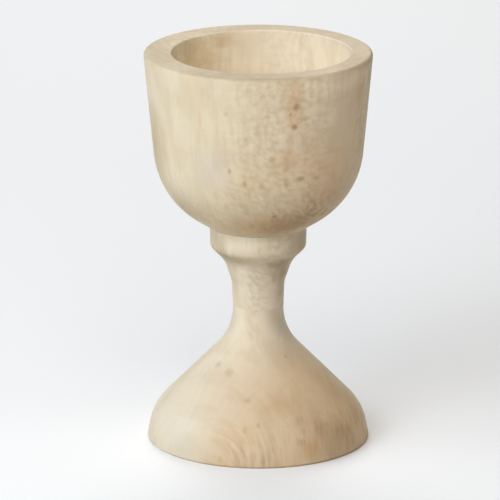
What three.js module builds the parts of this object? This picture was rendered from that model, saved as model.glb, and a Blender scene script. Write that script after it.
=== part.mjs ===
// A turned wooden communion chalice, standing on its foot: millimetres, +Z up.
// The origin is the centre of the foot's underside, and Z is the axis that it was turned on.
//
// Four turned pieces are stacked on one glued dowel: foot, stem, collar and bowl. A felt pad
// lies in the recess under the foot. Every turned piece is an outline of corners
// [radius, height, fillet] that is spun round Z, and a corner with a fillet becomes an arc
// that is tangent to both of its sides.

import * as THREE from "three";

// Fineness of the solids.
const SEGMENTS = 48; // facets in a full turn
const ARC_STEP = THREE.MathUtils.degToRad(7); // the most that an arc turns between two points

// Heights where one piece ends and the next begins.
const FOOT_TOP = 52;
const COLLAR_BOTTOM = 73.2;
const BOWL_BOTTOM = 83;
const HEIGHT = 150;
const GLUE = 0.1; // thickness of a glue line, between two faces and all round the dowel

// Foot.
const FOOT_RADIUS = 41.9;
const FOOT_EDGE = 0.8; // the broken edge that the foot stands on
const FOOT_RIM_LEAN = 0.2; // how far the low rim leans in, for each unit of height
const SHOULDER_HEIGHT = 11.2;
const SHOULDER_FILLET = 20;
const CONE_ANGLE = THREE.MathUtils.degToRad(44.2); // from the axis
const FLARE_FILLET = 21;
const RECESS_RADIUS = 33.5;
const RECESS_DEPTH = 2;
const CHUCK_HOLE_RADIUS = 3.5; // left by the lathe's screw chuck
const CHUCK_HOLE_TOP = 14;

// Stem.
const WAIST_RADIUS = 9.2; // where the foot's cone would meet the stem
const NECK = { radius: 9.9, height: 61.2 };
const COVE_FILLET = 9.5;
const CREASE = { radius: 12.9, height: 69.9 }; // where the neck would meet the bevel above it
const CREASE_FILLET = 12;
const BEVEL_ANGLE = THREE.MathUtils.degToRad(45); // from the axis; shared with the collar

// Collar.
const COLLAR_RADIUS = 18;
const COLLAR_TOP_RADIUS = 18.2;
const COLLAR_FILLET = 2.5;

// Bowl.
const BOWL_UNDERSIDE_ANGLE = THREE.MathUtils.degToRad(59); // from the axis
const BOWL_FILLET = 33.4;
const WALL_LOW = { radius: 39.4, height: 113 }; // two points on the straight outer wall
const WALL_HIGH = { radius: 42.7, height: 148 };
const LIP_FILLET = 1.4;
const MOUTH_RADIUS = 33.6; // inside, at the rim
const MOUTH_FILLET = 0.5;
const CAVITY_RADIUS = 32.2; // inside, where the wall would meet the floor
const CAVITY_FLOOR = 94;
const CAVITY_FILLET = 25;

// Dowel.
const DOWEL_RADIUS = 4;
const DOWEL_BOTTOM = 29;
const DOWEL_LENGTH = 60;
const DOWEL_CHAMFER = 0.8;
const DOWEL_END_GAP = 0.5; // room for glue past each end
const FLUTES = 12;
const FLUTE_DEPTH = 0.3;
const HOLE_RADIUS = DOWEL_RADIUS + GLUE;

// Felt pad.
const FELT_RADIUS = RECESS_RADIUS - 0.3;
const FELT_THICKNESS = 1.6;

// Where the straight lines of the outlines meet.
const SHOULDER_RADIUS = FOOT_RADIUS - FOOT_RIM_LEAN * (SHOULDER_HEIGHT - FOOT_EDGE);
const WAIST = {
  radius: WAIST_RADIUS,
  height: SHOULDER_HEIGHT + (SHOULDER_RADIUS - WAIST_RADIUS) / Math.tan(CONE_ANGLE),
};
const FOOT_TOP_RADIUS = radiusAt(FOOT_TOP, WAIST, NECK);
const COLLAR_KNUCKLE_HEIGHT =
  CREASE.height + (COLLAR_RADIUS - CREASE.radius) / Math.tan(BEVEL_ANGLE);
const BOWL_KNUCKLE_HEIGHT = bowlKnuckleHeight();

// The radius that a straight line through two outline points has at a height.
function radiusAt(height, low, high) {
  const share = (height - low.height) / (high.height - low.height);
  return THREE.MathUtils.lerp(low.radius, high.radius, share);
}

// The radius of the bevel that rises from the crease, at a height.
function bevelRadiusAt(height) {
  return CREASE.radius + (height - CREASE.height) * Math.tan(BEVEL_ANGLE);
}

// The height where the bowl's underside, rising from the collar, would meet its straight wall.
function bowlKnuckleHeight() {
  const wallSlope = (WALL_HIGH.radius - WALL_LOW.radius) / (WALL_HIGH.height - WALL_LOW.height);
  const undersideSlope = Math.tan(BOWL_UNDERSIDE_ANGLE);
  const wallRadius = radiusAt(BOWL_BOTTOM, WALL_LOW, WALL_HIGH);
  return BOWL_BOTTOM + (wallRadius - COLLAR_TOP_RADIUS) / (undersideSlope - wallSlope);
}

// Adds to the path the arc that rounds a corner between two straight sides.
function addFillet(path, before, corner, after, radius) {
  const back = before.clone().sub(corner).normalize();
  const forward = after.clone().sub(corner).normalize();
  const halfAngle = Math.acos(back.dot(forward)) / 2;
  const inward = back.clone().add(forward).normalize();
  const centre = corner.clone().addScaledVector(inward, radius / Math.sin(halfAngle));
  const reach = radius / Math.tan(halfAngle);
  const start = corner.clone().addScaledVector(back, reach).sub(centre).angle();
  const end = corner.clone().addScaledVector(forward, reach).sub(centre).angle();
  const turn = THREE.MathUtils.euclideanModulo(end - start + Math.PI, 2 * Math.PI) - Math.PI;
  path.absarc(centre.x, centre.y, radius, start, start + turn, turn < 0);
}

// The points of an outline, with its filleted corners rounded.
function outline(corners) {
  const at = corners.map(([radius, height]) => new THREE.Vector2(radius, height));
  const path = new THREE.Path();
  path.moveTo(at[0].x, at[0].y);
  for (let i = 1; i < corners.length; i++) {
    const fillet = corners[i][2];
    if (fillet) addFillet(path, at[i - 1], at[i], at[i + 1], fillet);
    else path.lineTo(at[i].x, at[i].y);
  }
  return path.curves.flatMap((curve, index) => {
    const turn = curve.isEllipseCurve ? Math.abs(curve.aEndAngle - curve.aStartAngle) : 0;
    const points = curve.getPoints(Math.max(1, Math.ceil(turn / ARC_STEP)));
    return index ? points.slice(1) : points;
  });
}

// Spins an outline round Z. It runs out and up the outside, then in and down the inside.
function turned(corners) {
  return new THREE.LatheGeometry(outline(corners), SEGMENTS).rotateX(Math.PI / 2);
}

// The same for a ring, whose outline comes back to its first corner.
function turnedRing(corners) {
  return turned([...corners, corners[0]]);
}

// Bell-shaped, with a blind hole for the dowel above and the chuck's hole in a recess below.
function footGeometry() {
  return turned([
    [0, CHUCK_HOLE_TOP],
    [CHUCK_HOLE_RADIUS, CHUCK_HOLE_TOP],
    [CHUCK_HOLE_RADIUS, RECESS_DEPTH],
    [RECESS_RADIUS, RECESS_DEPTH],
    [RECESS_RADIUS, 0],
    [FOOT_RADIUS - FOOT_EDGE, 0],
    [FOOT_RADIUS, FOOT_EDGE],
    [SHOULDER_RADIUS, SHOULDER_HEIGHT, SHOULDER_FILLET],
    [WAIST.radius, WAIST.height, FLARE_FILLET],
    [FOOT_TOP_RADIUS, FOOT_TOP],
    [HOLE_RADIUS, FOOT_TOP],
    [HOLE_RADIUS, DOWEL_BOTTOM - DOWEL_END_GAP],
    [0, DOWEL_BOTTOM - DOWEL_END_GAP],
  ]);
}

// A short neck that opens into the bevel under the collar, bored through for the dowel.
function stemGeometry() {
  const bottom = FOOT_TOP + GLUE;
  return turnedRing([
    [HOLE_RADIUS, bottom],
    [radiusAt(bottom, WAIST, NECK), bottom],
    [NECK.radius, NECK.height, COVE_FILLET],
    [CREASE.radius, CREASE.height, CREASE_FILLET],
    [bevelRadiusAt(COLLAR_BOTTOM), COLLAR_BOTTOM],
    [HOLE_RADIUS, COLLAR_BOTTOM],
  ]);
}

// A ring whose lower edge goes on with the stem's bevel, bored through for the dowel.
function collarGeometry() {
  const bottom = COLLAR_BOTTOM + GLUE;
  const top = BOWL_BOTTOM - GLUE;
  return turnedRing([
    [HOLE_RADIUS, bottom],
    [bevelRadiusAt(bottom), bottom],
    [COLLAR_RADIUS, COLLAR_KNUCKLE_HEIGHT, COLLAR_FILLET],
    [COLLAR_TOP_RADIUS, top],
    [HOLE_RADIUS, top],
  ]);
}

// A deep cup with a flat, thick rim and a blind hole for the dowel under its floor.
function bowlGeometry() {
  return turned([
    [0, DOWEL_BOTTOM + DOWEL_LENGTH + DOWEL_END_GAP],
    [HOLE_RADIUS, DOWEL_BOTTOM + DOWEL_LENGTH + DOWEL_END_GAP],
    [HOLE_RADIUS, BOWL_BOTTOM],
    [COLLAR_TOP_RADIUS, BOWL_BOTTOM],
    [radiusAt(BOWL_KNUCKLE_HEIGHT, WALL_LOW, WALL_HIGH), BOWL_KNUCKLE_HEIGHT, BOWL_FILLET],
    [radiusAt(HEIGHT, WALL_LOW, WALL_HIGH), HEIGHT, LIP_FILLET],
    [MOUTH_RADIUS, HEIGHT, MOUTH_FILLET],
    [CAVITY_RADIUS, CAVITY_FLOOR, CAVITY_FILLET],
    [0, CAVITY_FLOOR],
  ]);
}

// A straight pin with shallow flutes for the glue and a chamfer at both ends.
function dowelGeometry() {
  const geometry = turned([
    [0, DOWEL_BOTTOM],
    [DOWEL_RADIUS - DOWEL_CHAMFER, DOWEL_BOTTOM],
    [DOWEL_RADIUS, DOWEL_BOTTOM + DOWEL_CHAMFER],
    [DOWEL_RADIUS, DOWEL_BOTTOM + DOWEL_LENGTH - DOWEL_CHAMFER],
    [DOWEL_RADIUS - DOWEL_CHAMFER, DOWEL_BOTTOM + DOWEL_LENGTH],
    [0, DOWEL_BOTTOM + DOWEL_LENGTH],
  ]);
  const points = geometry.getAttribute("position");
  for (let i = 0; i < points.count; i++) {
    const angle = Math.atan2(points.getY(i), points.getX(i));
    const depth = (FLUTE_DEPTH / 2) * (1 - Math.cos(FLUTES * angle));
    const share = 1 - depth / DOWEL_RADIUS;
    points.setXY(i, points.getX(i) * share, points.getY(i) * share);
  }
  return geometry;
}

function feltGeometry() {
  const top = RECESS_DEPTH - GLUE;
  return turned([
    [0, top - FELT_THICKNESS],
    [FELT_RADIUS, top - FELT_THICKNESS],
    [FELT_RADIUS, top],
    [0, top],
  ]);
}

// A named mesh of one piece, with its own material.
function piece(name, geometry, material) {
  const mesh = new THREE.Mesh(geometry, new THREE.MeshStandardMaterial(material));
  mesh.name = name;
  return mesh;
}

const bareWood = (color) => ({ color, roughness: 0.6, metalness: 0 });

const chalice = new THREE.Group();
chalice.add(
  piece("foot", footGeometry(), bareWood(0xdcc8a6)),
  piece("stem", stemGeometry(), bareWood(0xd9caad)),
  piece("collar", collarGeometry(), bareWood(0xd8c9a9)),
  piece("bowl", bowlGeometry(), bareWood(0xdecdab)),
  piece("center_dowel", dowelGeometry(), bareWood(0xd3b78c)),
  piece("felt_pad", feltGeometry(), { color: 0x5a2230, roughness: 1, metalness: 0 }),
);

export default chalice;
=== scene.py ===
"""The finished look of a turned wooden communion chalice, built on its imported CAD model.

The CAD gives each piece's outline. Every piece that shows is spun again from it as a smooth,
finely divided mesh with eased edges and the slight unevenness of hand work.
"""

import math
from typing import NamedTuple

import bmesh
import bpy
import numpy as np
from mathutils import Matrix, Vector, noise


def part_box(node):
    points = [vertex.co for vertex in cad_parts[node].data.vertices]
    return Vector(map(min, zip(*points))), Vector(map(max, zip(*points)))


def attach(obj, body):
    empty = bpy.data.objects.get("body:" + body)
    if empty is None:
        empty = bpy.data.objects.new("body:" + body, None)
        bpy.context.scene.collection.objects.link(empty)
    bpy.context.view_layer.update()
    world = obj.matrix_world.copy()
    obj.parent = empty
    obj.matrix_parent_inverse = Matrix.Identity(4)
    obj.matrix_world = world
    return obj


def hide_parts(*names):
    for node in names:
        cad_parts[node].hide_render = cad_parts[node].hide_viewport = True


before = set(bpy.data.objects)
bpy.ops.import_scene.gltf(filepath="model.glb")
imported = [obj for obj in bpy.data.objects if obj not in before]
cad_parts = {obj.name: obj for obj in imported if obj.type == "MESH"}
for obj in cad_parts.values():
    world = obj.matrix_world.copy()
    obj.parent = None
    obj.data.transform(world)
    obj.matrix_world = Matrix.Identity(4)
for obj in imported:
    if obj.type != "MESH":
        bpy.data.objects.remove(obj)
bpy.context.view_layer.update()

MM = 0.001
TINY = 0.001 * MM  # shorter than this is no distance

# Camera, floor and light.
CAMERA_ELEVATION = math.radians(16.2)
CAMERA_DISTANCE = 2.0
CAMERA_LENS = 382.5  # on a sensor 36 mm wide
LOOK_AT = Vector((-3.1, 0, 72.9)) * MM
FLOOR_SIZE = 6.0
FLOOR_COLOUR = (0.9, 0.9, 0.9, 1)
FLOOR_ROUGHNESS = 0.9
SOFT_BOX = 0.8
LIGHT_DISTANCE = 1.3

# Turned pieces.
SEGMENTS = {"bowl": 192, "collar": 96, "stem": 96, "foot": 192, "felt_pad": 96}  # in a full turn
CORNER_TURN = math.radians(20)  # an outline that turns more than this at one point has a corner
EASED_EDGE = 0.3 * MM
EASED_POINTS = 5
EASED_SHARE = 0.45  # the most of a side that easing one of its corners takes up
OUTLINE_STEP = 0.8 * MM
SHARP_EDGE = math.radians(35)  # faces that turn more than this are shaded apart
WOBBLE = 0.10 * MM  # hand sanding
WOBBLE_SCALE = 26 * MM
RIDGE = 0.022 * MM  # left by the gouge
RIDGE_SCALE = 2.6 * MM
RIDGE_CHANGES = 30  # in a metre, as a ridge runs round
CALM_REACH = 3 * MM  # the surface is true at a joint or a hole, and free this far from it
JOINT_REACH = 0.2 * MM  # a corner this near a joint belongs to it
HAIRLINE = 0.02 * MM  # what shows of a glue line once it is squeezed out
CENTRED = np.zeros(3)
HOLLOW_SHIFT = np.array((1.4, -0.7, 0)) * MM  # how far the cup was hollowed off centre
RIM_WIDTH = 7 * MM
FELT_WAVE = 0.08 * MM
FELT_WAVE_SCALE = 7 * MM

# Wood. Lengths are in millimetres.
RING_WIDTH = 3.4
RING_STRAY = 3.0  # how far a ring strays from round, in years
RAY_LENGTH = 22  # out from the tree's pith
HEART_EDGE = 12  # the heartwood fades out over twice this
SWAY = (9, 9, 0)  # how far a tree strays from upright
MARK_RAGGED = 0.8  # how far the fibres pull a mark's edge in and out, as a share of its size
WOOD_BUMP = 0.08  # depth of the fibres and tool lines

# Noise in wood: its cells in a millimetre of the tree, along x, y and z.
SWAY_CELLS = (0.02, 0.02, 0.012)
RING_CELLS = (0.05, 0.05, 0.015)
WARM_CELLS = (0.03, 0.03, 0.03)
# The same in a millimetre of the grain: round the tree, out from its pith and up.
FIBRE_CELLS = (0.7, 0.4, 0.04)
MOTTLE_CELLS = (0.12, 0.04, 0.06)
# The same in a millimetre outward and upward on the turned piece.
TOOL_CELLS = (0.8, 0.8, 0)
# Detail of a noise: how many finer ones are laid over it.
FINE = 4.0
MEDIUM = 3.0
SOFT = 1.5

# Tints, which multiply a colour.
PAINTED_INSIDE_LIGHT_TINT = (1.22, 1.29, 1.38)  # painted light: inside the cup is painted paler
WARM_TINT = (1.0, 0.96, 0.90)
MOTTLE_TINT = (0.93, 0.91, 0.88)
RING_TINT = (0.96, 0.94, 0.91)
FIBRE_TINT = (0.975, 0.965, 0.95)
FLECK_TINT = (0.84, 0.81, 0.755)
TOOL_TINT = (0.965, 0.955, 0.94)
END_TINT = (0.91, 0.90, 0.87)
KNOT_TINT = (0.56, 0.44, 0.33)
PAINTED_LIGHT_TINT = (1.16, 1.19, 1.22)  # painted light: paler where light falls
# painted light: paler and bluer where the cool light from the left falls
PAINTED_COOL_LIGHT_TINT = (0.96, 0.99, 1.12)
# real stains, and painted shade under the bowl
STAIN_AND_SHADE_TINT = (0.88, 0.74, 0.62)
# painted shade: darker where shade falls
PAINTED_SHADE_TINT = (0.74, 0.70, 0.64)
WINE_TINT = (0.84, 0.74, 0.60)

# Felt. Lengths are in millimetres.
FELT_RED = (0.105, 0.016, 0.030)
PALE_FIBRE_TINT = (1.7, 2.2, 1.9)
FELT_MOTTLE_TINT = (0.8, 0.8, 0.8)
FELT_MOTTLE_CELLS = (0.12, 0.12, 0.12)
TANGLE = (7, 7, 7)  # how far the fibres stray from straight
TANGLE_CELLS = (0.35, 0.35, 0.35)
FELT_LAYERS = ((4.0, 0.7, 4.0), (0.7, 4.0, 4.0))  # the noise cells of each layer of fibres
FELT_BUMP = 0.5

# Measures of the frame.
JOINTS = [0.0, *(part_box(node)[1].z for node in ("foot", "stem", "collar"))]  # heights, from the floor
DOWEL_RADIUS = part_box("center_dowel")[1].x


def unit(vector):
    """The vector shortened or stretched to length 1."""
    return vector / np.linalg.norm(vector)


def smoothstep(x):
    """0 up to 0, 1 from 1 on and smooth between them."""
    x = np.clip(x, 0, 1)
    return x * x * (3 - 2 * x)


# ---------------------------------------------------------------- outlines


def signed_area(points):
    """Positive if the outline runs anticlockwise in (radius, height)."""
    r, z = points.T
    return float(np.sum(r * np.roll(z, -1) - np.roll(r, -1) * z)) / 2


def meridian(node):
    """The (radius, height) points of a turned CAD node's outline, and whether it is a ring.

    They are the node's vertices on the half-plane y = 0, x >= 0, with the wood on their left.
    """
    section = bmesh.new()
    section.from_mesh(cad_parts[node].data)
    bmesh.ops.remove_doubles(section, verts=section.verts, dist=TINY)
    elsewhere = [v for v in section.verts if abs(v.co.y) > TINY or v.co.x < -TINY]
    bmesh.ops.delete(section, geom=elsewhere, context="VERTS")
    ends = [v for v in section.verts if len(v.link_edges) == 1]
    path = [ends[0] if ends else next(iter(section.verts))]
    edge = None
    while onward := [e for e in path[-1].link_edges if e is not edge]:
        edge = onward[0]
        vert = edge.other_vert(path[-1])
        if vert is path[0]:
            break
        path.append(vert)
    points = np.array([(max(v.co.x, 0), v.co.z) for v in path])
    section.free()
    return (points if signed_area(points) > 0 else points[::-1]), not ends


def at_joint(height):
    """Whether two pieces meet at that height."""
    return min(abs(height - joint) for joint in JOINTS[1:]) < JOINT_REACH


def squeezed(points):
    """The outline with its lower face pressed down onto the joint under it."""
    radii, heights = points.T
    joint = max(j for j in JOINTS if j <= heights.min() + TINY)
    lowest = heights < heights.min() + TINY
    return np.column_stack([radii, np.where(lowest & (joint > 0), joint + HAIRLINE, heights)])


def eased(points, ring):
    """Rounds each sharp corner of an outline, except where a neighbour is turned flush with it."""
    result = []
    for i, corner in enumerate(points):
        before, after = points[i - 1] - corner, points[(i + 1) % len(points)] - corner
        turn = math.pi - math.acos(np.clip(unit(before) @ unit(after), -1, 1))
        is_end = not ring and i in (0, len(points) - 1)
        if is_end or turn < CORNER_TURN or at_joint(corner[1]):
            result.append(corner)
            continue
        room = EASED_SHARE * min(np.linalg.norm(before), np.linalg.norm(after))
        reach = min(EASED_EDGE * math.tan(turn / 2), room)
        start, end = corner + reach * unit(before), corner + reach * unit(after)
        result += [
            (1 - t) ** 2 * start + 2 * t * (1 - t) * corner + t**2 * end
            for t in np.linspace(0, 1, EASED_POINTS)
        ]
    return np.array(result)


def subdivided(points, ring):
    """Short steps along a smooth curve through an outline's points; its sharp corners stay."""
    count = len(points)
    ahead, behind = np.roll(points, -1, 0) - points, points - np.roll(points, 1, 0)
    result = []
    for i in range(count if ring else count - 1):
        j = (i + 1) % count
        leave = leaving(ahead[i], behind[i], ring or i > 0)
        arrive = leaving(behind[j], ahead[j], ring or j < count - 1)
        length = np.linalg.norm(ahead[i])
        steps = math.ceil(length / OUTLINE_STEP)
        for t in np.arange(steps) / steps:
            result.append(hermite(points[i], points[j], leave * length, arrive * length, t))
    return np.array(result if ring else [*result, points[-1]])


def leaving(side, other_side, has_other):
    """The direction of the curve at one end of a side.

    The side next to it there has the same direction, unless a corner parts them.
    """
    if has_other and unit(side) @ unit(other_side) > math.cos(CORNER_TURN):
        return unit(side + other_side)
    return unit(side)


def hermite(a, b, leave, arrive, t):
    """The point at t, from 0 to 1, on the curve that leaves a and arrives at b so directed."""
    return (
        (2 * t**3 - 3 * t**2 + 1) * a
        + (t**3 - 2 * t**2 + t) * leave
        + (3 * t**2 - 2 * t**3) * b
        + (t**3 - t**2) * arrive
    )


# ---------------------------------------------------------------- turned pieces


def hand_turned(points, along):
    """How far the tool and the sandpaper left each point of a surface proud of its outline.

    along is how far along the outline each point is.
    """
    radius = np.hypot(points[:, 0], points[:, 1])
    from_joints = np.abs(points[:, 2, None] - JOINTS).min(axis=1)
    freedom = smoothstep(np.minimum(from_joints, radius - DOWEL_RADIUS) / CALM_REACH)
    wobble = [noise.noise(Vector(p) / WOBBLE_SCALE) for p in points]
    ridges = [
        noise.noise(Vector((RIDGE_CHANGES * x, RIDGE_CHANGES * y, s / RIDGE_SCALE)))
        for (x, y, _), s in zip(points, along)
    ]
    return freedom * (WOBBLE * np.array(wobble) + RIDGE * np.array(ridges))


def pressed(points, _along):
    """The same for felt, which is uneven in thickness and only ever thinner than its outline."""
    waves = [noise.noise(Vector(p) / FELT_WAVE_SCALE) for p in points]
    return FELT_WAVE * (np.array(waves) - 1) / 2


def spun(name, node, relief, hollow_shift=CENTRED):
    """A closed mesh piece, spun round Z from a CAD node's outline.

    What comes after the outline's rim is the hollow, which may be off centre.
    """
    segments = SEGMENTS[node]
    corners, ring = meridian(node)
    outline = subdivided(eased(squeezed(corners), ring), ring)
    tangents = np.roll(outline, -1, 0) - np.roll(outline, 1, 0)
    along = np.cumsum(np.linalg.norm(outline - np.roll(outline, 1, 0), axis=1))
    past_rim = along - along[np.argmax(outline[:, 1])]
    shares = smoothstep(past_rim / RIM_WIDTH)
    angles = 2 * math.pi * np.arange(segments) / segments
    points, normals, steps, shifts, rows = [], [], [], [], []
    for (r, z), (dr, dz), s, share in zip(outline, tangents, along, shares):
        turn = angles if r > TINY else angles[:1]  # one vertex on the axis
        rows.append(len(points) + np.arange(segments) % len(turn))
        points += [(r * math.cos(a), r * math.sin(a), z) for a in turn]
        normals += [(dz * math.cos(a), dz * math.sin(a), -dr) for a in turn]
        steps += [s] * len(turn)
        shifts += [share * hollow_shift] * len(turn)
    points, normals = np.array(points), np.array(normals)
    normals /= np.linalg.norm(normals, axis=1)[:, None]
    points += shifts + normals * relief(points, steps)[:, None]
    return linked_piece(name, points, faces_between(rows, ring))


def faces_between(rows, ring):
    """The faces between neighbouring rows of vertex numbers.

    A row on the axis is one number repeated.
    """
    faces = []
    for lower, upper in zip(rows, [*rows[1:], rows[0]] if ring else rows[1:]):
        for i in range(len(lower)):
            j = (i + 1) % len(lower)
            corners = [lower[i], lower[j], upper[j], upper[i]]
            faces.append(list(dict.fromkeys(int(c) for c in corners)))
    return faces


def linked_piece(name, points, faces):
    """A new object in the scene, shaded smooth except at its sharp edges."""
    mesh = bpy.data.meshes.new(name)
    mesh.from_pydata(points, [], faces)
    mesh.shade_smooth()
    mesh.set_sharp_from_angle(angle=SHARP_EDGE)
    piece = bpy.data.objects.new(name, mesh)
    bpy.context.scene.collection.objects.link(piece)
    return piece


# ---------------------------------------------------------------- materials


class Graph:
    """The nodes of one material. Each method adds a node and returns its output."""

    def __init__(self, name):
        self.material = bpy.data.materials.new(name)
        self.material.use_nodes = True
        self.tree = self.material.node_tree
        self.tree.nodes.clear()

    def add(self, kind, inputs, output=0, **settings):
        """An input is a number, a vector, a colour or another node's output."""
        node = self.tree.nodes.new("ShaderNode" + kind)
        for key, value in settings.items():
            setattr(node, key, value)
        for key, value in inputs.items():
            if isinstance(value, bpy.types.NodeSocket):
                self.tree.links.new(value, node.inputs[key])
            else:
                node.inputs[key].default_value = value
        return node.outputs[output]

    def math(self, operation, *values):
        """What an operation makes of some numbers."""
        return self.add("Math", dict(enumerate(values)), operation=operation)

    def product(self, *values):
        """All the values multiplied together."""
        result = values[0]
        for value in values[1:]:
            result = self.math("MULTIPLY", result, value)
        return result

    def vector(self, operation, *values, output=0):
        """What an operation makes of some vectors."""
        return self.add("VectorMath", dict(enumerate(values)), output, operation=operation)

    def length(self, vector):
        """How long a vector is."""
        return self.vector("LENGTH", vector, output="Value")

    def dot(self, vector, other):
        """The dot product of two vectors."""
        return self.vector("DOT_PRODUCT", vector, other, output="Value")

    def parts(self, vector):
        """The x, y and z of a vector."""
        return self.add("SeparateXYZ", {0: vector}).node.outputs

    def level(self, vector):
        """The vector without its z."""
        return self.vector("MULTIPLY", vector, (1, 1, 0))

    def place(self):
        """Where the surface is on the object, in millimetres."""
        return self.vector("MULTIPLY", self.add("TexCoord", {}, "Object"), (1 / MM,) * 3)

    def noise(self, place, per_mm, detail=2.0, output="Fac"):
        """Smooth noise with that many cells in a millimetre along x, y and z."""
        cells = self.vector("MULTIPLY", place, per_mm)
        return self.add("TexNoise", {"Vector": cells, "Scale": 1.0, "Detail": detail}, output)

    def rise(self, value, low, high, top=1.0):
        """0 at low, top at high and smooth between them; low may be the larger."""
        inputs = {"Value": value, "From Min": low, "From Max": high, "To Max": top}
        return self.add("MapRange", inputs, interpolation_type="SMOOTHSTEP")

    def blend(self, colour, other, amount, kind="MIX"):
        """The colour blended with another, as far as the amount from 0 to 1 says."""
        inputs = {0: amount, 6: colour, 7: other}
        return self.add("Mix", inputs, 2, data_type="RGBA", blend_type=kind)

    def tint(self, colour, amount, tint):
        """The colour multiplied by a tint, as far as the amount from 0 to 1 says."""
        return self.blend(colour, (*tint, 1), amount, "MULTIPLY")

    def bump(self, height, depth, strength):
        """The normal of a surface whose heights from 0 to 1 stand for that depth in millimetres."""
        return self.add("Bump", {"Height": height, "Distance": depth * MM, "Strength": strength})

    def surface(self, inputs):
        """Ends the graph with a shader that has these inputs, and returns the material."""
        output = self.tree.nodes.new("ShaderNodeOutputMaterial")
        self.tree.links.new(self.add("BsdfPrincipled", inputs), output.inputs["Surface"])
        return self.material


class Plank(NamedTuple):
    """The wood of one piece, from its own place in a tree. Lengths are in millimetres."""

    sapwood: tuple
    heartwood: tuple
    pith: tuple  # (x, y) of the tree's middle
    heart: float  # radius of the heartwood
    height: float  # up the tree
    fleck: tuple  # width and height of a ray's fleck


class Mark(NamedTuple):
    """A knot or stain in the wood, or a patch of painted shade or painted light: an upright oval round
    a place, in millimetres.
    """

    place: tuple
    across: float
    along: float
    strength: float
    tint: tuple


def growth_rings(g, tree, out):
    """0 in a year's early wood, rising to 1 at the sharp edge of its late wood."""
    stray = g.product(g.noise(tree, RING_CELLS), RING_STRAY)
    years = g.math("ADD", g.math("DIVIDE", out, RING_WIDTH), stray)
    part = g.math("FRACT", years)
    return g.product(g.rise(part, 0.2, 0.9), g.rise(part, 1.0, 0.93))


def ray_flecks(g, grain, fleck, shown):
    """The rays, cut through as soft upright flecks."""
    across, up = fleck
    flecks = g.noise(grain, (1 / across, 1 / RAY_LENGTH, 1 / up), SOFT)
    return g.product(g.rise(flecks, 0.32, 0.75), shown)


def tool_lines(g, place):
    """Fine lines all round, left by the lathe tool and sandpaper."""
    outline_place = g.add("CombineXYZ", {0: g.length(g.level(place)), 1: g.parts(place)[2]})
    return g.noise(outline_place, TOOL_CELLS, FINE)


def in_tree(g, place, plank):
    """Where a place on the piece grew.

    Gives its place in the tree, how far out it is from the pith, and its place in the grain:
    round the tree, out from the pith and up.
    """
    upright = g.vector("ADD", place, (-plank.pith[0], -plank.pith[1], plank.height))
    sway = g.vector("MULTIPLY", g.noise(upright, SWAY_CELLS, output="Color"), SWAY)
    tree = g.vector("ADD", upright, sway)
    x, y, z = g.parts(tree)
    out = g.length(g.level(tree))
    angle = g.math("ARCTAN2", x, g.product(y, -1.0))
    return tree, out, g.add("CombineXYZ", {0: g.product(angle, plank.heart), 1: out, 2: z})


def cuts(g, normal, tree):
    """How far the surface cuts across the grain, along it and slantwise to the rays: 0 to 1."""
    end_cut = g.math("ABSOLUTE", g.parts(normal)[2])
    flat_cut = g.math("ABSOLUTE", g.dot(normal, g.vector("NORMALIZE", g.level(tree))))
    oblique_cut = g.product(g.rise(flat_cut, 0.98, 0.72), g.rise(flat_cut, 0.0, 0.42))
    return end_cut, g.rise(end_cut, 0.8, 0.3), oblique_cut


def marked(g, colour, marks, place, fibres):
    """The colour with each mark's tint over it, ragged along the fibres."""
    ragged = g.product(g.math("SUBTRACT", fibres, 0.5), MARK_RAGGED)
    for mark in marks:
        size = (mark.across, mark.across, mark.along)
        offset = g.vector("DIVIDE", g.vector("SUBTRACT", place, mark.place), size)
        far = g.math("ADD", g.length(offset), ragged)
        colour = g.tint(colour, g.rise(far, 1.0, 0.1, mark.strength), mark.tint)
    return colour


def wood(name, plank, marks=()):
    """Bare beech with upright grain."""
    g = Graph(name)
    place = g.place()
    normal = g.add("TexCoord", {}, "Normal")
    tree, out, grain = in_tree(g, place, plank)
    fibres = g.noise(grain, FIBRE_CELLS, FINE)
    tool = tool_lines(g, place)
    mottle = g.noise(grain, MOTTLE_CELLS, MEDIUM)
    end_cut, side_cut, oblique_cut = cuts(g, normal, tree)

    # What faces in towards the axis, inside the cup, is painted paler as painted light, and rays show
    # less there.
    not_facing_in = g.rise(g.dot(normal, g.level(place)), -8.0, -2.0)
    near_heart = g.rise(out, plank.heart + 2 * HEART_EDGE, plank.heart)
    rays_shown = g.product(oblique_cut, side_cut, near_heart, g.rise(not_facing_in, -1.0, 1.0))
    heartwood = g.rise(out, plank.heart + HEART_EDGE, plank.heart - HEART_EDGE)

    colour = g.blend((*plank.sapwood, 1), (*plank.heartwood, 1), heartwood)
    for amount, tint in (
        # painted light: paler inside the cup
        (g.math("SUBTRACT", 1.0, not_facing_in), PAINTED_INSIDE_LIGHT_TINT),
        (g.rise(g.noise(tree, WARM_CELLS), 0.3, 0.7), WARM_TINT),
        (g.rise(mottle, 0.42, 0.62), MOTTLE_TINT),
        (g.product(growth_rings(g, tree, out), g.rise(end_cut, 0.3, 1.3)), RING_TINT),
        (g.product(g.rise(fibres, 0.42, 0.7), side_cut), FIBRE_TINT),
        (ray_flecks(g, grain, plank.fleck, rays_shown), FLECK_TINT),
        (g.rise(tool, 0.58, 0.72), TOOL_TINT),
        (g.rise(end_cut, 0.6, 0.95), END_TINT),
    ):
        colour = g.tint(colour, amount, tint)

    relief = g.math("ADD", g.product(fibres, 0.6), g.product(tool, 0.3))
    return g.surface(
        {
            "Base Color": marked(g, colour, marks, place, fibres),
            "Roughness": g.math("ADD", g.rise(fibres, 0.3, 0.7, 0.2), 0.5),
            "Specular IOR Level": 0.3,
            "Normal": g.bump(relief, WOOD_BUMP, 0.6),
        }
    )


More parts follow.
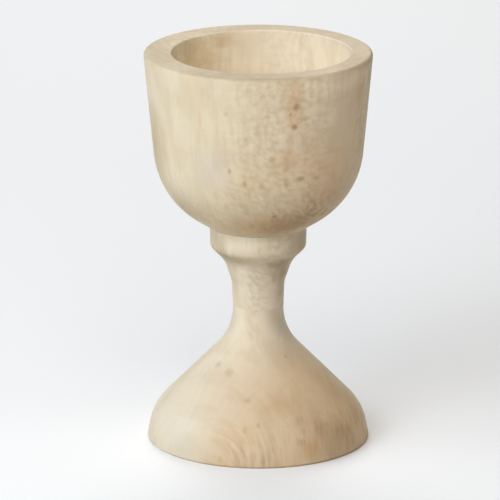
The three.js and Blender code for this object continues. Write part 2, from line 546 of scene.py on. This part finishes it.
def felt(name):
    """Pressed wool: layers of tangled fibres, some of them paler."""
    g = Graph(name)
    place = g.place()
    tangle = g.vector("MULTIPLY", g.noise(place, TANGLE_CELLS, output="Color"), TANGLE)
    tangled = g.vector("ADD", place, tangle)
    fibres = g.math("MAXIMUM", *(g.noise(tangled, cells, FINE) for cells in FELT_LAYERS))
    mottle = g.noise(place, FELT_MOTTLE_CELLS)
    colour = g.tint((*FELT_RED, 1), g.rise(fibres, 0.5, 0.75), PALE_FIBRE_TINT)
    return g.surface(
        {
            "Base Color": g.tint(colour, g.rise(mottle, 0.35, 0.65), FELT_MOTTLE_TINT),
            "Roughness": g.rise(fibres, 0.8, 0.3),
            "Specular IOR Level": 0.15,
            "Sheen Weight": 0.35,
            "Sheen Roughness": 0.5,
            "Normal": g.bump(fibres, FELT_BUMP, 0.8),
        }
    )


# ---------------------------------------------------------------- camera, floor and light


def add_camera():
    """A long lens, raised a little above the rim."""
    camera = bpy.data.objects.new("camera", bpy.data.cameras.new("camera"))
    camera.data.lens = CAMERA_LENS
    camera.data.clip_end = 4 * CAMERA_DISTANCE
    back = Vector((0, -math.cos(CAMERA_ELEVATION), math.sin(CAMERA_ELEVATION)))
    camera.location = LOOK_AT + CAMERA_DISTANCE * back
    camera.rotation_euler = back.to_track_quat("Z", "Y").to_euler()
    bpy.context.scene.collection.objects.link(camera)
    bpy.context.scene.camera = camera


def add_floor():
    """A plain pale floor, which is no part of the chalice."""
    bpy.ops.mesh.primitive_plane_add(size=FLOOR_SIZE)
    floor = bpy.context.object
    floor.name = "floor"
    material = bpy.data.materials.new("floor")
    material.use_nodes = True
    shader = material.node_tree.nodes["Principled BSDF"]
    shader.inputs["Base Color"].default_value = FLOOR_COLOUR
    shader.inputs["Roughness"].default_value = FLOOR_ROUGHNESS
    floor.data.materials.append(material)


def add_light(name, azimuth, elevation, power, colour):
    """A square soft box that faces the middle of the chalice. Azimuth 0 is the camera's side."""
    light = bpy.data.objects.new(name, bpy.data.lights.new(name, "AREA"))
    light.data.size = SOFT_BOX
    light.data.energy = power
    light.data.color = colour
    a, e = math.radians(azimuth), math.radians(elevation)
    away = Vector((math.sin(a) * math.cos(e), -math.cos(a) * math.cos(e), math.sin(e)))
    light.location = LOOK_AT + LIGHT_DISTANCE * away
    light.rotation_euler = away.to_track_quat("Z", "Y").to_euler()
    bpy.context.scene.collection.objects.link(light)


DAYLIGHT = (0.86, 0.93, 1)
WARM_LIGHT = (1, 0.93, 0.86)
WHITE_LIGHT = (1, 1, 1)
LIGHTS = [  # name, azimuth and elevation in degrees, power in watts, colour
    ("key", -42, 32, 11.4, DAYLIGHT),
    ("left", -80, 30, 4.9, DAYLIGHT),
    ("front", 0, 50, 4.9, WARM_LIGHT),
    ("right", 60, 30, 2.2, WARM_LIGHT),
    ("back", 180, 40, 8.4, WHITE_LIGHT),
]


# ---------------------------------------------------------------- planks and marks

PLANKS = {
    "bowl": Plank((0.65, 0.56, 0.405), (0.685, 0.57, 0.41), (95, 60), 131, 0, (1.8, 2.3)),
    "collar": Plank((0.71, 0.64, 0.49), (0.67, 0.59, 0.455), (60, 70), 100, 40, (1.8, 2.5)),
    "stem": Plank((0.69, 0.61, 0.47), (0.685, 0.59, 0.45), (80, 50), 98, 90, (1.3, 1.9)),
    "foot": Plank((0.70, 0.63, 0.505), (0.67, 0.515, 0.34), (60, -90), 96, 200, (1.2, 5.0)),
}
DOWEL_PLANK = Plank((0.62, 0.52, 0.36), (0.56, 0.43, 0.29), (30, 40), 50, 300, (2.0, 3.0))

# Painted shade where pieces meet.
JOINT_SHADE = [
    Mark((0.0, 0.0, 84.0), 150.0, 3.5, 0.2, PAINTED_SHADE_TINT),
    Mark((-15.5, -10.0, 83.0), 7.0, 6.0, 0.7, PAINTED_SHADE_TINT),
]
CREASE_SHADE = [
    Mark((0.0, 0.0, 73.0), 150.0, 4.5, 0.5, PAINTED_SHADE_TINT),
    Mark((9.0, -10.5, 68.5), 10.0, 9.0, 1.0, PAINTED_SHADE_TINT),
    Mark((-11.5, -9.5, 72.5), 9.0, 7.5, 1.0, PAINTED_SHADE_TINT),
    Mark((-7.0, -14.5, 74.5), 8.0, 5.0, 0.6, PAINTED_SHADE_TINT),
    Mark((6.5, -11.5, 71.0), 8.0, 4.5, 0.6, PAINTED_SHADE_TINT),
]
BOWL_MARKS = [
    *JOINT_SHADE,
    # Knots and freckles.
    Mark((13.9, -39.4, 138.7), 2.4, 2.0, 0.8, KNOT_TINT),
    Mark((13.2, -38.9, 131.0), 1.8, 1.7, 0.8, KNOT_TINT),
    Mark((11.7, -39.9, 136.1), 0.9, 0.9, 0.6, KNOT_TINT),
    Mark((-10.7, -38.0, 114.1), 1.1, 1.8, 0.6, KNOT_TINT),
    Mark((15.9, -35.8, 110.7), 2.2, 1.6, 0.5, KNOT_TINT),
    Mark((6.0, -32.6, 95.3), 1.4, 1.2, 0.5, KNOT_TINT),
    Mark((4.8, -39.7, 118.8), 1.9, 1.9, 0.45, KNOT_TINT),
    Mark((3.2, -41.5, 135.7), 1.5, 1.5, 0.3, KNOT_TINT),
    Mark((-11.8, -39.9, 136.2), 1.7, 1.6, 0.3, KNOT_TINT),
    Mark((-4.7, -40.4, 126.4), 1.6, 2.2, 0.35, KNOT_TINT),
    Mark((-5.0, -38.6, 109.0), 1.4, 2.2, 0.45, KNOT_TINT),
    Mark((1.0, -38.7, 108.2), 1.8, 1.8, 0.35, KNOT_TINT),
    Mark((10.6, -37.5, 109.6), 2.4, 2.6, 0.4, KNOT_TINT),
    Mark((17.0, -37.7, 133.7), 2.6, 1.5, 0.4, KNOT_TINT),
    Mark((21.3, -32.8, 109.9), 2.6, 2.0, 0.3, KNOT_TINT),
    # The reddish streak down the front and fainter stains, a darker patch low on the right, and painted
    # shade under the bowl.
    Mark((11.4, -38.3, 118.6), 5.0, 3.5, 0.4, STAIN_AND_SHADE_TINT),
    Mark((12.5, -39.0, 140.0), 6.0, 17.0, 0.7, STAIN_AND_SHADE_TINT),
    Mark((10.5, -38.5, 118.0), 3.5, 16.0, 0.45, STAIN_AND_SHADE_TINT),
    Mark((16.0, -37.0, 123.0), 9.0, 20.0, 0.3, STAIN_AND_SHADE_TINT),
    Mark((25.0, -29.0, 108.0), 18.0, 26.0, 0.7, STAIN_AND_SHADE_TINT),
    Mark((37.8, -18.1, 139.6), 6.0, 9.0, 0.5, STAIN_AND_SHADE_TINT),
    Mark((-21.6, -35.2, 133.0), 1.2, 6.0, 0.5, STAIN_AND_SHADE_TINT),
    Mark((-22.0, -36.0, 141.0), 8.0, 10.0, 0.35, STAIN_AND_SHADE_TINT),
    # painted shade under the bowl
    Mark((7.0, -26.0, 90.0), 24.0, 10.0, 0.65, STAIN_AND_SHADE_TINT),
    # Painted shade on the underside, the left wall and the lip.
    Mark((6.0, -24.0, 92.0), 42.0, 15.0, 0.85, PAINTED_SHADE_TINT),
    Mark((30.0, -22.0, 98.0), 23.0, 19.0, 0.9, PAINTED_SHADE_TINT),
    Mark((12.0, -25.0, 91.0), 17.0, 11.0, 1.0, PAINTED_SHADE_TINT),
    Mark((35.0, -15.0, 150.5), 15.0, 2.0, 0.3, PAINTED_SHADE_TINT),
    Mark((-28.0, -20.0, 94.5), 18.0, 14.0, 0.9, PAINTED_SHADE_TINT),
    Mark((-38.0, -12.0, 115.0), 13.0, 24.0, 0.8, PAINTED_SHADE_TINT),
    Mark((-1.0, -42.0, 149.8), 32.0, 1.3, 0.7, PAINTED_SHADE_TINT),
    # Painted light, paler and bluer, outside and then inside.
    Mark((-17.0, -35.0, 114.0), 12.0, 12.0, 0.9, PAINTED_COOL_LIGHT_TINT),
    Mark((6.0, -42.0, 138.0), 30.0, 22.0, 0.6, PAINTED_LIGHT_TINT),
    Mark((30.0, -32.0, 145.0), 22.0, 5.5, 0.9, PAINTED_LIGHT_TINT),
    Mark((38.0, -18.0, 145.0), 10.0, 6.0, 0.6, PAINTED_LIGHT_TINT),
    Mark((13.0, -40.0, 146.0), 9.0, 5.0, 0.7, PAINTED_LIGHT_TINT),
    Mark((-8.0, 32.0, 134.0), 22.0, 7.0, 0.6, PAINTED_LIGHT_TINT),
    Mark((-22.0, 22.0, 142.0), 20.0, 16.0, 1.0, PAINTED_LIGHT_TINT),
    Mark((-32.0, 9.0, 146.0), 9.0, 12.0, 1.0, PAINTED_LIGHT_TINT),
    # Left by wine, inside.
    Mark((-25.0, 21.0, 143.5), 9.0, 12.0, 0.45, WINE_TINT),
    Mark((-19.5, 26.0, 140.0), 6.0, 5.0, 0.5, STAIN_AND_SHADE_TINT),
    Mark((-14.0, 30.0, 146.5), 7.0, 4.0, 0.5, STAIN_AND_SHADE_TINT),
]
COLLAR_MARKS = [
    *CREASE_SHADE,
    # painted shade on the sides of the collar
    Mark((-16.0, -8.5, 78.5), 9.0, 10.0, 0.9, PAINTED_SHADE_TINT),
    Mark((16.5, -8.0, 78.5), 9.0, 10.0, 1.0, PAINTED_SHADE_TINT),
    # painted highlight on the middle of the collar
    Mark((1.0, -18.0, 81.5), 14.0, 6.0, 0.7, PAINTED_LIGHT_TINT),
]
STEM_MARKS = [
    *CREASE_SHADE,
    # painted shade on the sides of the stem
    Mark((9.5, -7.0, 64.0), 7.0, 13.0, 0.9, PAINTED_SHADE_TINT),
    Mark((-10.5, -5.5, 63.0), 7.0, 13.0, 0.7, PAINTED_SHADE_TINT),
]
FOOT_MARKS = [
    # Knots and freckles.
    Mark((-15.0, -13.0, 31.8), 2.2, 2.0, 0.35, KNOT_TINT),
    Mark((-10.8, -18.3, 30.3), 3.0, 2.2, 0.3, KNOT_TINT),
    Mark((-4.0, -28.5, 22.6), 2.4, 1.6, 0.35, KNOT_TINT),
    Mark((10.3, -13.1, 35.0), 1.2, 1.2, 0.4, KNOT_TINT),
    Mark((2.0, -41.4, 3.0), 1.4, 4.5, 0.5, KNOT_TINT),
    Mark((-5.2, -36.9, 13.5), 1.3, 5.5, 0.35, KNOT_TINT),
    Mark((-0.1, -35.9, 15.2), 1.3, 5.0, 0.35, KNOT_TINT),
    Mark((15.7, -36.7, 8.8), 2.8, 2.4, 0.35, KNOT_TINT),
    Mark((15.3, -31.8, 15.8), 2.2, 3.5, 0.25, KNOT_TINT),
    Mark((-14.1, -39.1, 2.9), 1.6, 2.0, 0.3, KNOT_TINT),
    # Stains.
    Mark((-3.0, -38.0, 12.0), 4.0, 9.0, 0.3, STAIN_AND_SHADE_TINT),
    Mark((13.0, -12.0, 34.0), 12.0, 12.0, 0.2, STAIN_AND_SHADE_TINT),
    Mark((7.6, -29.7, 20.6), 10.0, 6.0, 0.5, STAIN_AND_SHADE_TINT),
    Mark((23.3, -30.9, 11.5), 6.0, 6.0, 0.5, STAIN_AND_SHADE_TINT),
    Mark((19.5, -36.0, 5.8), 6.0, 6.0, 0.8, STAIN_AND_SHADE_TINT),
    Mark((32.8, -22.7, 8.9), 7.0, 4.0, 0.4, STAIN_AND_SHADE_TINT),
    Mark((-14.0, -22.0, 26.0), 18.0, 14.0, 0.25, STAIN_AND_SHADE_TINT),
    # Painted shade along the floor, on the right side and below the stem.
    Mark((0.0, 0.0, 0.0), 150.0, 8.0, 0.25, PAINTED_SHADE_TINT),
    Mark((28.0, -28.0, 7.0), 20.0, 12.0, 0.8, PAINTED_SHADE_TINT),
    Mark((-27.0, -32.0, 5.0), 14.0, 7.0, 0.35, PAINTED_SHADE_TINT),
    Mark((35.0, -10.0, 22.0), 14.0, 14.0, 0.4, PAINTED_SHADE_TINT),
    Mark((6.5, -7.5, 48.0), 6.0, 9.0, 0.6, PAINTED_SHADE_TINT),
    Mark((-10.0, -3.0, 47.0), 6.0, 9.0, 0.4, PAINTED_SHADE_TINT),
    Mark((20.0, -29.0, 17.0), 13.0, 9.0, 0.3, PAINTED_SHADE_TINT),
    # Painted light, paler and bluer.
    Mark((-10.0, -40.0, 4.0), 10.0, 7.0, 0.6, PAINTED_LIGHT_TINT),
    Mark((-7.0, -40.0, 4.0), 16.0, 9.0, 0.5, PAINTED_COOL_LIGHT_TINT),
    Mark((-8.0, -9.0, 40.0), 9.0, 8.0, 0.3, PAINTED_LIGHT_TINT),
]

MARKS = {"bowl": BOWL_MARKS, "collar": COLLAR_MARKS, "stem": STEM_MARKS, "foot": FOOT_MARKS}


# ---------------------------------------------------------------- the scene

add_camera()
add_floor()
for light in LIGHTS:
    add_light(*light)
bpy.context.scene.world = bpy.data.worlds.new("studio")
bpy.context.scene.view_settings.view_transform = "Standard"

for node, plank in PLANKS.items():
    shift = HOLLOW_SHIFT if node == "bowl" else CENTRED
    piece = spun("turned_" + node, node, hand_turned, shift)
    piece.data.materials.append(wood(node + "_beech", plank, MARKS[node]))
    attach(piece, "root")
    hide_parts(node)

pad = spun("felt_disc", "felt_pad", pressed)
pad.data.materials.append(felt("burgundy_felt"))
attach(pad, "root")
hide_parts("felt_pad")

# The dowel is shown as the CAD has it, in its own wood.
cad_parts["center_dowel"].material_slots[0].material = wood("dowel_beech", DOWEL_PLANK)
